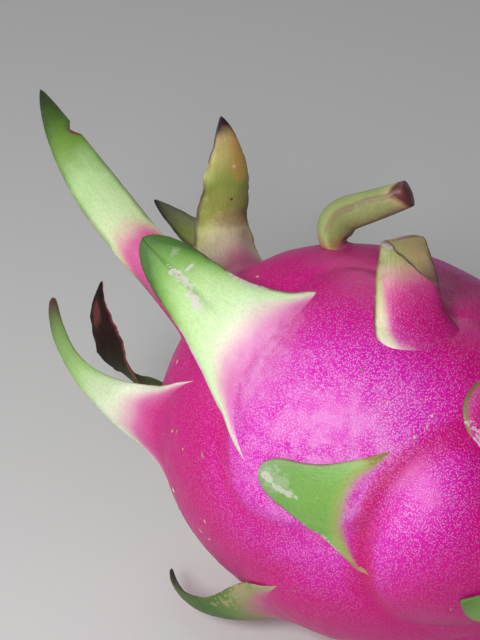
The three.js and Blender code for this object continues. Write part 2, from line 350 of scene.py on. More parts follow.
# %% Hidden bracts
HIDDEN_BRACTS = [
    bract("crown_bract_under", along=42, around=208, length=20, base=22, blade=9, lift=12, curl=-20,
          swell=1.5),
    bract("crown_bract_back", along=39, around=262, length=22, base=24, blade=10, lift=18, curl=-30,
          swell=1.5),
    bract("shoulder_bract_under", along=20, around=178, length=28, base=30, blade=11, lift=12, curl=-8,
          swell=1),
    bract("shoulder_bract_low_back", along=16, around=232, length=36, base=34, blade=12, lift=20),
    bract("shoulder_bract_back", along=12, around=284, length=32, base=36, blade=13, lift=10, curl=-6),
    bract("side_bract_low_back", along=-12, around=214, length=22, base=28, blade=10, lift=2, curl=-4,
          swell=2),
    bract("side_bract_back", along=-14, around=262, length=30, base=34, blade=11, lift=8, swell=3.5),
    bract("side_bract_high_back", along=-14, around=292, length=26, base=34, blade=12, lift=2, curl=-6),
    bract("rear_bract_under", along=-32, around=148, length=22, base=28, blade=10, lift=2, curl=-4,
          swell=2.5),
    bract("rear_bract_low_back", along=-36, around=232, length=26, base=28, lift=8, swell=2.5),
    bract("rear_bract_back", along=-36, around=290, length=28, base=30, blade=11, lift=14),
    bract("rear_bract_high_back", along=-36, around=338, length=28, base=28, blade=11, lift=12, curl=4),
    bract("stem_bract_low", along=-52, around=192, length=15, base=22, blade=9, lift=0, curl=-6, swell=1),
    bract("stem_bract_back", along=-52, around=262, length=20, base=22, blade=9, lift=8, swell=1.5),
    bract("stem_bract_top", along=-52, around=12, length=20, base=22, blade=9, lift=10, swell=1.5),
]
BRACTS = SEEN_BRACTS + HIDDEN_BRACTS
print("bracts in all", len(BRACTS))

# %% [markdown]
# ## The egg
# The body could be sculpted, but its shape follows a rule: an egg, plus a soft swelling on the stem
# side of every bract root, less the crater at the crown and the dimple at the stem. The plain egg comes
# first. It also says which way is outward, crownward and across at any point, and the bracts start from
# those directions.

# %% Egg
LAST_ALONG = 2 - STEM_HALF


def egg_frame(polar, around):
    """Point, outward, crownward and across directions on the plain egg, as arrays."""
    polar, around = np.broadcast_arrays(np.asarray(polar, float), np.asarray(around, float))
    half = np.where(np.cos(polar) >= 0, CROWN_HALF, STEM_HALF)
    ring = np.stack([-np.sin(around), np.zeros_like(around), np.cos(around)], -1)
    axis = np.array([0.0, 1.0, 0.0])
    point = ring * (BODY_RADIUS * np.sin(polar))[..., None] + axis * (half * np.cos(polar))[..., None]
    outward = ring * (np.sin(polar) / BODY_RADIUS)[..., None] + axis * (np.cos(polar) / half)[..., None]
    outward /= np.linalg.norm(outward, axis=-1, keepdims=True)
    across = np.stack([-np.cos(around), np.zeros_like(around), -np.sin(around)], -1)
    return point, outward, np.cross(across, outward), across


def polar_at(along):
    return math.acos(along / (CROWN_HALF if along >= 0 else STEM_HALF))


def root_frame(leaf, behind=0):
    """The egg's point and directions at a bract's root, or so far behind it towards the stem."""
    along = max(leaf["along"] - behind, LAST_ALONG)
    return egg_frame(polar_at(along), math.radians(leaf["around"]))


print("egg mm", 2 * BODY_RADIUS, "thick", CROWN_HALF + STEM_HALF, "long")

# %% [markdown]
# ## Swellings, bloom and painted shade in creases
# Behind each root the skin is raised like a cushion, and where two cushions meet there is a crease. A
# plain sum would fill that crease, and taking the higher of the two would make it too sharp. So the
# heights are added as cubes and the cube root is taken, which lies between the two. The same frame tells
# where the pale bloom lies round a root, and where painted shade darkens the crease behind a root to
# crimson.

# %% Swellings
CUSHION_FRONT, CUSHION_SIDE, CUSHION_DROP = 15.0, 0.65, 8.0
CREASE = 3.0


def swell_at(point):
    """Height of the skin over the plain egg: the cushions behind the bracts, with creases between."""
    height = np.zeros(point.shape[:-1])
    for leaf in BRACTS:
        middle, outward, crownward, across = root_frame(leaf, leaf["behind"])
        away = point - middle
        u = away @ crownward
        u = u / np.where(u > 0, CUSHION_FRONT, leaf["cushion"])
        v = away @ across / (CUSHION_SIDE * leaf["base"])
        under = np.maximum(0, -(away @ outward) - CUSHION_DROP) / CUSHION_DROP
        dome = leaf["swell"] * np.clip(1 - u * u - v * v - under * under, 0, 1)
        height += dome ** CREASE
    return height ** (1 / CREASE)


print("swelling on top of the middle mm", round(float(swell_at(egg_frame(math.pi / 2, 0)[0])), 2))

# %% Bloom and painted crease shade
BLOOM_ALONG, BLOOM_ACROSS = 10.0, 0.32
BLOOM_SIDE = -400.0  # square millimetres; below it a point is on the fruit's other side
CREASE_SHADE_BEHIND, CREASE_SHADE_WIDE, CREASE_SHADE_ENDS = 1.4, 2.6, 0.6


def bloom_at(point):
    """How much pale bloom lies around the bract roots."""
    bloom = np.zeros(point.shape[:-1])
    for leaf in BRACTS:
        middle, _, crownward, across = root_frame(leaf)
        away = point - middle
        u = away @ crownward / BLOOM_ALONG
        v = away @ across / (BLOOM_ACROSS * leaf["base"])
        bloom += leaf["bloom"] * np.exp(-u * u - v * v) * (away @ middle > BLOOM_SIDE)
    return np.clip(bloom, 0, 1)


def crease_shade_at(point):
    """How much painted shade, in crimson, lies in the crease behind a bract's root; it follows the root's
    swept wings.
    """
    crimson = np.zeros(point.shape[:-1])
    for leaf in BRACTS:
        middle, outward, crownward, across = root_frame(leaf)
        away = point - middle
        v = away @ across / (0.5 * leaf["base"])
        swept = leaf["sweep"] * 0.5 * (leaf["base"] - leaf["blade"]) * v * v
        u = (away @ crownward + CREASE_SHADE_BEHIND + swept) / CREASE_SHADE_WIDE
        near = away @ outward > -BODY_RADIUS
        crimson += leaf["crimson"] * np.exp(-u * u - CREASE_SHADE_ENDS * v ** 4) * near
    return np.clip(crimson, 0, 1)


print("bracts with bloom", sum(leaf["bloom"] > 0 for leaf in BRACTS))

# %% [markdown]
# ## Meshes from numbers
# A piece that is worked out corner by corner needs three helpers: one makes a smooth object from
# corners and faces, one lists the faces of rings of corners that close in a point at both ends, and one
# stores a number on every corner for the nodes to read.


# %% Mesh helpers
def mesh_object(name, points, faces):
    """A smooth-shaded mesh object with its place in its corners."""
    mesh = bpy.data.meshes.new(name)
    mesh.from_pydata([tuple(p) for p in points], [], faces)
    mesh.polygons.foreach_set("use_smooth", [True] * len(mesh.polygons))
    mesh.update()
    made = bpy.data.objects.new(name, mesh)
    bpy.context.collection.objects.link(made)
    return made


def closed_grid(rows, columns):
    """Faces of rows of points round an axis, closed by a first and a last single point."""
    faces = [(0, 1 + (j + 1) % columns, 1 + j) for j in range(columns)]
    for i in range(rows - 1):
        top, low = 1 + i * columns, 1 + (i + 1) * columns
        for j in range(columns):
            k = (j + 1) % columns
            faces.append((top + j, top + k, low + k, low + j))
    last, end = 1 + (rows - 1) * columns, 1 + rows * columns
    faces += [(end, last + j, last + (j + 1) % columns) for j in range(columns)]
    return faces


def store(mesh, name, values):
    """Keeps one number per corner on a mesh."""
    layer = mesh.attributes.new(name, "FLOAT", "POINT")
    layer.data.foreach_set("value", np.asarray(values, np.float32))


print("faces of a grid of 2 by 4", len(closed_grid(2, 4)))

# %% [markdown]
# ## The skin
# The skin is a fine grid from the crown's pole to the stem's. Each corner is pushed out from the egg by
# the swellings and by two sizes of gentle lumps, and drawn in at the crater and the dimple. What would
# be below the table is pressed flat, as a soft fruit is where it lies.

# %% Skin mesh
SKIN_RINGS, SKIN_AROUND = 250, 380
CRATER_DEPTH, CRATER_RADIUS = 9.0, 9.0
DIMPLE_DEPTH, DIMPLE_RADIUS = 4.0, 9.0
LUMPS = ((16.0, 0.45), (6.0, 0.12))  # size and height


def skin_points(point, outward):
    """The egg's points moved to the real skin, and the height of the swellings there."""
    spread = np.hypot(point[..., 0], point[..., 2])
    crater = np.where(point[..., 1] > 0, CRATER_DEPTH * np.exp(-(spread / CRATER_RADIUS) ** 2), 0)
    dimple = np.where(point[..., 1] < 0, DIMPLE_DEPTH * np.exp(-(spread / DIMPLE_RADIUS) ** 2), 0)
    swell = swell_at(point)
    lump = [sum(height * noise.noise(Vector(p) / size) for size, height in LUMPS) for p in point]
    placed = point + outward * (swell + np.array(lump))[..., None]
    placed[..., 1] += dimple - crater
    return placed, swell


polar = np.linspace(0, math.pi, SKIN_RINGS + 2)[1:-1]
around = np.linspace(0, 2 * math.pi, SKIN_AROUND, endpoint=False)
grid = np.stack(np.meshgrid(polar, around, indexing="ij"), -1).reshape(-1, 2)
grid = np.vstack([[0, 0], grid, [math.pi, 0]])
egg_points, egg_outward, _, _ = egg_frame(grid[:, 0], grid[:, 1])
skin_places, skin_swell = skin_points(egg_points, egg_outward)
skin_world = laid_down(skin_places)
skin_world[:, 2] = np.maximum(skin_world[:, 2], 0)
body = mesh_object("body_skin", skin_world, closed_grid(SKIN_RINGS, SKIN_AROUND))
print("skin faces", len(body.data.polygons), "highest swelling mm", round(float(skin_swell.max()), 2))

# %% [markdown]
# ## What the skin's colour follows
# The swellings are painted paler, as painted light, and the valleys deeper, as painted shade. A shader
# can't measure that by itself, so four numbers are stored on every corner of the skin: the swelling's
# height, how far it lies below its neighbours, the bloom and the painted crease shade.

# %% Skin layers
VALLEY_REACH = 8
VALLEY_FULL = 0.4


def valleys(height):
    """How far each corner of the grid lies below the mean height around it, 0 to 1."""
    mean = np.zeros_like(height)
    for step in (VALLEY_REACH, -VALLEY_REACH):
        mean += np.roll(height, step, axis=1)
        rows = np.clip(np.arange(len(height)) + step, 0, len(height) - 1)
        mean += height[rows]
    return np.clip((mean / 4 - height) / VALLEY_FULL, 0, 1)


skin_valley = valleys(skin_swell[1:-1].reshape(SKIN_RINGS, SKIN_AROUND)).ravel()
# The swelling's height lightens the skin's colour as painted light, and the valley number darkens it as
# painted shade.
store(body.data, "swell", skin_swell)
store(body.data, "valley", np.concatenate([[0], skin_valley, [0]]))
store(body.data, "bloom", bloom_at(egg_points))
store(body.data, "crimson", crease_shade_at(egg_points))
print("corners in valleys", int((skin_valley > 0.5).sum()))

# %% [markdown]
# ## Lines down the bracts
# Each bract hangs on a line that leaves the skin and bends step by step: first away from the skin,
# then by its curl, with a fold at one place for those that are bent over. A Bezier curve could be drawn
# for each, but steps let a few numbers in degrees do the same. First come the width and the bend at any
# share of a leaf's length.

# %% Widths and bends
ROOT_SHARE = 0.3
LEAST_ROUND = 0.01


def smooth(x, start, end):
    x = min(max((x - start) / (end - start), 0), 1)
    return x * x * (3 - 2 * x)


def swung(vector, degrees, axis):
    return Matrix.Rotation(math.radians(degrees), 3, axis) @ vector


def half_width(leaf, share):
    """Half the width of a leaf at a share of its length."""
    to_tip = min(max((share - leaf["tip_from"]) / (1 - leaf["tip_from"]), 0), 1)
    half = 0.5 * leaf["blade"] * (1 - to_tip ** leaf["tip_power"]) ** leaf["tip_round"]
    flared = max(0, 1 - share / leaf["flare"]) ** leaf["flare_power"]
    half += 0.5 * (leaf["base"] - leaf["blade"]) * flared
    if share < leaf["round_root"]:
        half *= max(LEAST_ROUND, 1 - (1 - share / leaf["round_root"]) ** 2) ** 0.5
    return half


def bend_at(leaf, share):
    """Bend at a share of the length, in degrees for a whole length: lift or curl, and the kink."""
    bend = leaf["lift"] / ROOT_SHARE if share < ROOT_SHARE else leaf["curl"] / (1 - ROOT_SHARE)
    from_kink = abs(share - leaf["kink_at"]) / leaf["kink_spread"]
    if from_kink < 1:
        bend += leaf["kink"] * (1 + math.cos(math.pi * from_kink)) / (2 * leaf["kink_spread"])
    return bend


print("width of the tallest at its middle mm", round(2 * half_width(BRACTS[0], 0.5), 1))

# %% [markdown]
# ## Walking down a line
# The walk starts at the root with the direction towards the crown, turned by the leaf's heading. Each
# step turns that direction a little and moves on. Every station keeps its place, which way it goes and
# which way its outer face looks, how wide and how thick the leaf is there, and how much it is cupped.

# %% Bract lines
STATIONS = 60
TWIST_FROM, TWIST_TO = 0.15, 0.65
CUP_SETTLED = 0.5
HOOK_FROM = 0.7


def bract_line(leaf):
    """Stations in the fruit frame: place, way along, way out, half width, half thickness and cup."""
    point, out, crownward, _ = (Vector(v) for v in root_frame(leaf))
    way = swung(crownward, leaf["heading"], out)
    swell = float(swell_at(np.array(point)))
    place = point + out * (swell + leaf["proud"] - leaf["thick"] / 2)
    ring_radius = BODY_RADIUS * math.sin(polar_at(leaf["along"]))
    rows = []
    for step in range(STATIONS + 1):
        share = step / STATIONS
        thick = 0.5 * leaf["thick"] * (1 - leaf["thinning"] * share)
        settled = smooth(share, 0, CUP_SETTLED)
        cup = (1 - settled) * 0.5 / ring_radius + settled * leaf["cup"]
        side = way.cross(out).normalized()
        leaning = max(0, (share - HOOK_FROM) / (1 - HOOK_FROM)) ** 2
        hooked = place + side * leaf["hook"] * leaning
        rows.append((hooked, way, out, half_width(leaf, share), thick, cup))
        bend = bend_at(leaf, (step + 0.5) / STATIONS) / STATIONS
        way, out = swung(way, bend, side), swung(out, bend, side)
        way = swung(way, leaf["sway"] / STATIONS, out)
        rolled = smooth((step + 1) / STATIONS, TWIST_FROM, TWIST_TO) - smooth(share, TWIST_FROM, TWIST_TO)
        out = swung(out, leaf["twist"] * rolled, way)
        place = place + way * (leaf["length"] / STATIONS)
    return rows


print("stations", STATIONS + 1, "tip of the tallest", [round(c) for c in bract_line(BRACTS[0])[-1][0]])

# %% [markdown]
# ## Lines as objects
# Geometry Nodes read a line best as a mesh of loose edges, with what the leaf needs at each station
# stored on its corners. The line is laid down with the fruit, so the leaf grows where it belongs.


# %% Line objects
def line_object(leaf):
    """The line as loose edges, with what the leaf needs at each station as attributes."""
    rows = bract_line(leaf)
    ways = np.array([row[1] for row in rows])
    outs = np.array([row[2] for row in rows])
    sides = np.cross(ways, outs)
    sides /= np.linalg.norm(sides, axis=1, keepdims=True)
    turn = np.array(lay_down.to_3x3())
    places = laid_down([row[0] for row in rows])
    mesh = bpy.data.meshes.new(leaf["name"] + "_line")
    mesh.from_pydata([tuple(p) for p in places], [(i, i + 1) for i in range(STATIONS)], [])
    for key, values in (("side", sides), ("out", outs), ("way", ways)):
        layer = mesh.attributes.new(key, "FLOAT_VECTOR", "POINT")
        layer.data.foreach_set("vector", (values @ turn.T).astype(np.float32).ravel())
    for key, column, scale in (("half_width", 3, MM), ("half_thick", 4, MM), ("cup", 5, 1 / MM)):
        store(mesh, key, [row[column] * scale for row in rows])
    made = bpy.data.objects.new(leaf["name"] + "_leaf", mesh)
    bpy.context.collection.objects.link(made)
    return made


lines = [line_object(leaf) for leaf in BRACTS]
print("lines", len(lines))

# %% [markdown]
# ## Trees with named inputs
# Two Geometry Nodes trees follow, one for the leaves and one for the flecks on the skin. Both start
# with named inputs and end alike: instances are made real and get their finish. Once a tree has grown
# a piece, the result is kept as a plain mesh and the modifier goes.


# %% Tree helpers
def tree_with(name, inputs):
    """An empty tree with those named inputs, and the inputs' identifiers."""
    tree = bpy.data.node_groups.new(name, "GeometryNodeTree")
    tree.interface.new_socket("Geometry", in_out="OUTPUT", socket_type="NodeSocketGeometry")
    keys = {}
    for label, kind in inputs.items():
        socket = tree.interface.new_socket(label, in_out="INPUT", socket_type="NodeSocket" + kind)
        keys[label] = socket.identifier
    return tree, keys


def end_tree(w, geometry, finish):
    geometry = w.node("GeometryNodeRealizeInstances", {}, {"Geometry": geometry}, "Geometry")
    geometry = w.node("GeometryNodeSetMaterial", {}, {"Geometry": geometry, "Material": finish}, "Geometry")
    end = w.tree.nodes.new("NodeGroupOutput")
    w.plug(geometry, end.inputs[0])


def grown(maker, tree, keys, values):
    """Evaluates a tree on an object and keeps the result as a plain mesh."""
    modifier = maker.modifiers.new("grow", "NODES")
    modifier.node_group = tree
    for label, value in values.items():
        modifier[keys[label]] = value
    graph = bpy.context.evaluated_depsgraph_get()
    evaluated = maker.evaluated_get(graph)
    made = bpy.data.meshes.new_from_object(evaluated, preserve_all_data_layers=True, depsgraph=graph)
    maker.modifiers.remove(modifier)
    maker.data = made
    made.name = maker.name
    return maker


print("tree helpers ready")

# %% [markdown]
# ## The free leaf
# All bracts follow the same rule, so one tree makes them. A ball is pulled out along the line: its
# poles become root and tip, and its rings become flattened cross-sections with thin margins. The margin
# wanders a little, rises and falls in a ruffle, and one leaf has a notch. The wings of the root are
# drawn back towards the stem.

# %% Leaf blade
LEAF_SEGMENTS = 40
RUFFLE_ALONG, RUFFLE_ACROSS = 7.0, 0.7
RIPPLE_SCALE = 2.6
WAVE_WIDTH, RIPPLE_WIDTH = 0.5, 0.25
WAVE_RISE, RIPPLE_RISE = 3.0, 1.5
MARGIN_POWER, MARGIN_THINNER = 3.0, 0.25
NOTCH_LENGTH = 0.03


def leaf_ball(w):
    """A ball to pull out, and for each corner its share along the leaf, its place across and its face."""
    ball = w.node("GeometryNodeMeshUVSphere", {},
                  {"Segments": LEAF_SEGMENTS, "Rings": STATIONS, "Radius": 1.0}, "Mesh")
    x = w.node("ShaderNodeSeparateXYZ", {}, {0: w.node("GeometryNodeInputPosition")}, "X")
    y, z = x.also("Y"), x.also("Z")
    radius = w.math("SQRT", x * x + y * y)
    return ball, w.math("ARCCOSINE", z) / math.pi, x / radius, y / radius


def leaf_blade(w, given, share, cross, face):
    """The free leaf as a flat sheet and with its thickness, and how much of a corner is on a wing."""
    station = w.math("ROUND", share * STATIONS)

    def on_line(value, kind):
        return w.node("GeometryNodeSampleIndex", {"data_type": kind, "domain": "POINT"},
                      {"Geometry": given, "Value": value, "Index": station}, "Value")

    def number(name):
        return on_line(w.stored(name, "FLOAT"), "FLOAT")

    def direction(name):
        return on_line(w.stored(name, "FLOAT_VECTOR"), "FLOAT_VECTOR")

    middle = on_line(w.node("GeometryNodeInputPosition"), "FLOAT_VECTOR")
    half = number("half_width")
    ruffle, blade_half, base_half = (given.also(key) for key in ("Ruffle", "Blade half", "Base half"))
    place = w.vector(share * RUFFLE_ALONG, cross * RUFFLE_ACROSS, given.also("Seed"))
    wave = w.noise(place, 1.0, 3.0) - 0.5
    ripple = w.noise(place, RIPPLE_SCALE, 2.0) - 0.5
    margin = abs(cross) ** MARGIN_POWER
    from_notch = abs(share - given.also("Notch at")) / NOTCH_LENGTH
    notch = (1 - from_notch.eased(0.2, 1.0)) * cross.eased(0.0, 0.4) * given.also("Notch depth")
    wander = 1 + (wave * WAVE_WIDTH + ripple * RIPPLE_WIDTH) * ruffle
    reach = half * cross * wander * (1 - notch)
    lens = face * (1 - MARGIN_THINNER * margin)
    rise = number("half_thick") * lens - number("cup") * reach * reach
    ruffled = (wave * WAVE_RISE + ripple * RIPPLE_RISE) * margin * ruffle * half
    rise = rise + ruffled * share.eased(0.1, 0.5)
    wing = ((half - blade_half) / (base_half - blade_half)).eased(0.0, 1.0) * cross * cross
    swept = wing * (blade_half - base_half) * (1 + cross * given.also("Skew")) * given.also("Sweep")
    flat = middle.moved(direction("side"), reach).moved(direction("way"), swept)
    return flat, flat.moved(direction("out"), rise), abs(reach).eased(blade_half, base_half)


print("corners of a leaf", LEAF_SEGMENTS * (STATIONS - 1) + 2)

# %% [markdown]
# ## The root on the skin
# Near the root the leaf is drawn onto the nearest skin, so that its outer face runs on from the swelling
# behind it and only the crown side shows a gap, as on the real fruit. Leaves that only cross the skin
# would show a hard line there.

# %% Root on the skin
FUSED_HALF = 0.9
FUSED_PROUD = 0.35
FUSED_SUNK = 1.04
RISEN_AT, WINGS_SOONER = 0.4, 0.5
CLEAR_INNER, CLEAR_OUTER = 0.1, 1.3


def on_skin(w, skin, place, value, kind="FLOAT_VECTOR"):
    """A value of the skin at the point nearest to a place."""
    return w.node("GeometryNodeSampleNearestSurface", {"data_type": kind},
                  {"Mesh": skin, "Value": value, "Sample Position": place}, "Value")


def nearest(w, skin, place):
    """The nearest point of the skin and its outward direction."""
    return (on_skin(w, skin, place, w.node("GeometryNodeInputPosition")),
            on_skin(w, skin, place, w.node("GeometryNodeInputNormal")))


def clear_of_skin(w, skin, blade, face):
    """Lifts what would lie inside the fruit clear of the skin, the outer face more than the inner."""
    below, above = nearest(w, skin, blade)
    gap = w.node("ShaderNodeVectorMath", {"operation": "SUBTRACT"}, {0: blade, 1: below})
    gap = w.node("ShaderNodeVectorMath", {"operation": "DOT_PRODUCT"}, {0: gap, 1: above}, "Value")
    clear = (CLEAR_INNER + (face * 0.5 + 0.5) * (CLEAR_OUTER - CLEAR_INNER)) * MM
    return blade.moved(above, w.math("MAXIMUM", clear - gap, 0.0))


def fused_root(w, skin, flat, share, cross, face, sweep):
    """The leaf laid on the skin: sunk into it at the very root, a little proud of it further on."""
    near, outward = nearest(w, skin, flat)
    risen = share.eased(0.0, RISEN_AT - WINGS_SOONER * sweep * cross * cross)
    proud = risen * ((FUSED_PROUD + FUSED_HALF) * MM) - FUSED_HALF * MM * FUSED_SUNK
    return near.moved(outward, proud + face * (FUSED_HALF * MM))


print("root proud of the skin mm", FUSED_PROUD, "and thick", 2 * FUSED_HALF)

# %% [markdown]
# ## The bract tree
# The tree joins the free leaf and the root: it goes from one to the other over the fused share of the
# length, and the wings stay on the skin longest. The leaf also stores the skin's own layers, so that its
# root can have the skin's colour, and these are stored before the ball is pulled out of shape.

# %% Bract tree
FLANK_HOLD = 0.9
LEAF_INPUTS = {
    "Line": "Geometry", "Skin": "Object", "Finish": "Material", "Fused share": "Float",
    "Blade half": "Float", "Base half": "Float", "Ruffle": "Float", "Seed": "Float", "Skew": "Float",
    "Notch at": "Float", "Notch depth": "Float", "Sweep": "Float"}


def bract_tree():
    """The tree that grows one leaf along its line, and the identifiers of its inputs."""
    tree, keys = tree_with("bract_leaf", LEAF_INPUTS)
    w = Wire(tree)
    given = w.node("NodeGroupInput", out="Line")
    skin = w.node("GeometryNodeObjectInfo", {"transform_space": "ORIGINAL"},
                  {"Object": given.also("Skin")}, "Geometry")
    leaf, share, cross, face = leaf_ball(w)
    flat, blade, flank = leaf_blade(w, given, share, cross, face)
    blade = clear_of_skin(w, skin, blade, face)
    fused = fused_root(w, skin, flat, share, cross, face, given.also("Sweep"))
    free = share.eased(0.0, given.also("Fused share"))
    placed = w.between(free * (1 - FLANK_HOLD * flank), fused, blade)
    layers = {"along": share, "cross": cross, "face": face}
    for name in ("swell", "valley", "bloom"):
        layers[name] = on_skin(w, skin, flat, w.stored(name, "FLOAT"), "FLOAT")
    for name, value in layers.items():
        leaf = w.node("GeometryNodeStoreNamedAttribute", {"data_type": "FLOAT", "domain": "POINT"},
                      {"Geometry": leaf, "Name": name, "Value": value}, "Geometry")
    leaf = w.node("GeometryNodeSetPosition", {}, {"Geometry": leaf, "Position": placed}, "Geometry")
    leaf = w.node("GeometryNodeSetShadeSmooth", {}, {"Geometry": leaf}, "Geometry")
    end_tree(w, leaf, given.also("Finish"))
    return tree, keys


leaf_tree, leaf_keys = bract_tree()
print("tree nodes", len(leaf_tree.nodes))

# %% [markdown]
# ## Colours and materials
# Colours are easiest to choose as they look on a screen, 0 to 255, but shaders reckon in linear light,
# so one helper turns the first into the second. Every finish then ends in the same way: colour,
# roughness and small bumps feed the shader, and its gloss is one number for the whole piece.


# %% Finish helpers
def seen(red, green, blue):
    """A colour as it looks on screen, 0 to 255, as the linear colour that shaders use."""
    shares = [level / 255 for level in (red, green, blue)]
    linear = [((s + 0.055) / 1.055) ** 2.4 if s > 0.04045 else s / 12.92 for s in shares]
    return (*linear, 1.0)


def new_finish(name):
    """A new material, and a wire to add its nodes with."""
    material = bpy.data.materials.new(name)
    material.use_nodes = True
    return material, Wire(material.node_tree)


def set_finish(w, colour, roughness, height, bump_strength, gloss):
    shader = w.tree.nodes["Principled BSDF"]
    bump = w.node("ShaderNodeBump", {},
                  {"Strength": bump_strength, "Distance": 1.0, "Height": height}, "Normal")
    w.plug(colour, shader.inputs["Base Color"])
    w.plug(roughness, shader.inputs["Roughness"])
    w.plug(bump, shader.inputs["Normal"])
    shader.inputs["Specular IOR Level"].default_value = gloss


print("middle grey in linear light", round(seen(128, 128, 128)[0], 3))

# %% [markdown]
# ## The skin's finish
# The skin is magenta with tiny pale dots less than half a millimetre apart. Light and shade are painted
# into it: round the middle of the front flank, where the lamp lights it, and the same spot on the back,
# it is painted paler and more violet, with clearer dots and a painted sheen, and further off it is
# painted deeper as shade. It is also painted paler on the swellings, deeper in the valleys and crimson in
# a crease behind one leaf, as painted light and shade. A painted picture could show that, but here every
# colour is worked out from where a spot lies, so it is sharp at any distance. The leaves start in the
# same skin and share this function.

# %% Skin colours
# The skin is painted from DEEP_SKIN where it is in painted shade to FULL_SKIN where it is painted lit.
DEEP_SKIN = seen(194, 4, 118)
FULL_SKIN = seen(210, 26, 176)
WARM_SKIN = seen(206, 70, 140)
# The crimson is painted shade, laid in the crease behind a root.
CREASE_SHADE_CRIMSON = seen(186, 4, 92)
# A pale colour laid only where the skin is painted lit: partly the skin's bloom, partly painted sheen.
BLOOM_AND_SHEEN = seen(232, 176, 226)
SKIN_DOT = seen(242, 168, 236)
PALE_PINK = seen(248, 196, 240)
print("deepest skin in linear light", [round(c, 3) for c in DEEP_SKIN[:3]])

# %% Skin finish
DOTS_PER_METRE, DOTS_UNEVEN = 2350.0, 0.85
DOT_CORE, DOT_EDGE, DOT_GROWS = 0.12, 0.48, 0.16
DOT_FAINT, DOT_CLEAR = 0.16, 0.56
BROAD, PATCHY, SPECKLED, FINE = 38.0, 120.0, 260.0, 420.0
# Middle of the front flank, mirrored to the back: the skin is painted palest round it, as painted light
# where the lamp falls, and deeper further off, as painted shade.
LIT_FLANK_MIDDLE = (0.002, 0.036, 0.064)
PAINTED_LIGHT_FROM, PAINTED_LIGHT_TO = 0.012, 0.042
PAINTED_LIGHT_MOST, PAINTED_LIGHT_FALLS, PAINTED_LIGHT_ON_SWELL, TONE_PATCHES, PAINTED_VALLEY_SHADE = 0.85, 0.8, 0.15, 0.5, 0.25
PAINTED_SHEEN_FROM, PAINTED_SHEEN_TO, PAINTED_SHEEN = 0.002, 0.022, 0.26
FULL_SWELL = 3.0
WARM_PATCHES, BLOOM_AND_SHEEN_SHARE = 0.2, 0.16
DOT_HEIGHT, DENT_SCALE, DENT_HEIGHT = 0.0001, 180.0, 0.0006
SKIN_ROUGH, SMEAR_SCALE, SMEARS = 0.3, 200.0, 0.16
SKIN_BUMP, SKIN_GLOSS = 0.55, 0.28


def skin_colour(w):
    """Colour and dots of the skin, with light and shade painted in, and the place that they are worked out
    from.
    """
    spot = w.node("ShaderNodeTexCoord", out="Object")
    swell, valley, bloom, crimson = (w.layer(name) for name in ("swell", "valley", "bloom", "crimson"))
    x = w.node("ShaderNodeSeparateXYZ", {}, {0: spot}, "X")
    mirrored = w.vector(x, abs(x.also("Y")), x.also("Z"))
    far = w.node("ShaderNodeVectorMath", {"operation": "DISTANCE"}, {0: mirrored, 1: LIT_FLANK_MIDDLE}, "Value")
    broad, patch, speckle, fine = (w.noise(spot, scale, 3.0) for scale in (BROAD, PATCHY, SPECKLED, FINE))
    # Painted light and shade: high round the flank's middle and on swellings, low far from it and in
    # valleys, with broad random patches of tone.
    painted_light_tone = PAINTED_LIGHT_MOST - PAINTED_LIGHT_FALLS * far.eased(PAINTED_LIGHT_FROM, PAINTED_LIGHT_TO) + swell.eased(0.0, FULL_SWELL) * PAINTED_LIGHT_ON_SWELL
    painted_light_tone = painted_light_tone + (broad - 0.5) * TONE_PATCHES - valley * PAINTED_VALLEY_SHADE
    flesh = w.tint(painted_light_tone.eased(0.2, 0.95), DEEP_SKIN, FULL_SKIN)
    flesh = w.tint(patch.eased(0.55, 0.8) * WARM_PATCHES, flesh, WARM_SKIN)
    # Pale patches where the skin is painted lit: partly bloom, partly painted sheen.
    flesh = w.tint(painted_light_tone.eased(0.55, 1.1) * speckle.eased(0.42, 0.64) * BLOOM_AND_SHEEN_SHARE, flesh, BLOOM_AND_SHEEN)
    # A painted highlight: a pale sheen round the lit middle of each flank.
    painted_sheen = (1 - far.eased(PAINTED_SHEEN_FROM, PAINTED_SHEEN_TO)) * speckle.eased(0.36, 0.66)
    flesh = w.tint(painted_sheen * PAINTED_SHEEN, flesh, PALE_PINK)
    powder = bloom * (0.1 + patch * 0.7 + fine * 0.9)
    flesh = w.tint(powder.eased(0.1, 0.9), flesh, PALE_PINK)
    # Painted shade: the crease behind a root is painted crimson.
    flesh = w.tint(crimson, flesh, CREASE_SHADE_CRIMSON)
    cell = w.node("ShaderNodeTexVoronoi", {"feature": "F1"},
                  {"Vector": spot, "Scale": DOTS_PER_METRE, "Randomness": DOTS_UNEVEN}, "Distance")
    # The dots are painted larger and clearer where the skin is painted lit.
    dots = 1 - cell.eased(DOT_CORE, DOT_EDGE + painted_light_tone.eased(0.4, 1.1) * DOT_GROWS)
    clear = (DOT_FAINT + painted_light_tone.eased(0.0, 1.0) * DOT_CLEAR) * (0.75 + 0.5 * patch) * (1 - crimson * 0.7)
    return w.tint(dots * clear, flesh, SKIN_DOT), dots, spot


def skin_finish():
    material, w = new_finish("skin")
    colour, dots, spot = skin_colour(w)
    roughness = SKIN_ROUGH + SMEARS * w.noise(spot, SMEAR_SCALE, 2.0)
    height = dots * DOT_HEIGHT + w.noise(spot, DENT_SCALE, 3.0) * DENT_HEIGHT
    set_finish(w, colour, roughness, height, SKIN_BUMP, SKIN_GLOSS)
    return material


body.data.materials.append(skin_finish())
print("skin finish nodes", len(body.data.materials[0].node_tree.nodes))

# %% [markdown]
# ## The green of a leaf
# A leaf is cream, pale green and then darker green from root to tip, with fine streaks, blotches and a
# faint midrib. A colour ramp along the leaf gives the first, and noises that are stretched along the
# leaf or scattered over it darken the ramp a little. They are gathered first, because the later steps
# read them too.

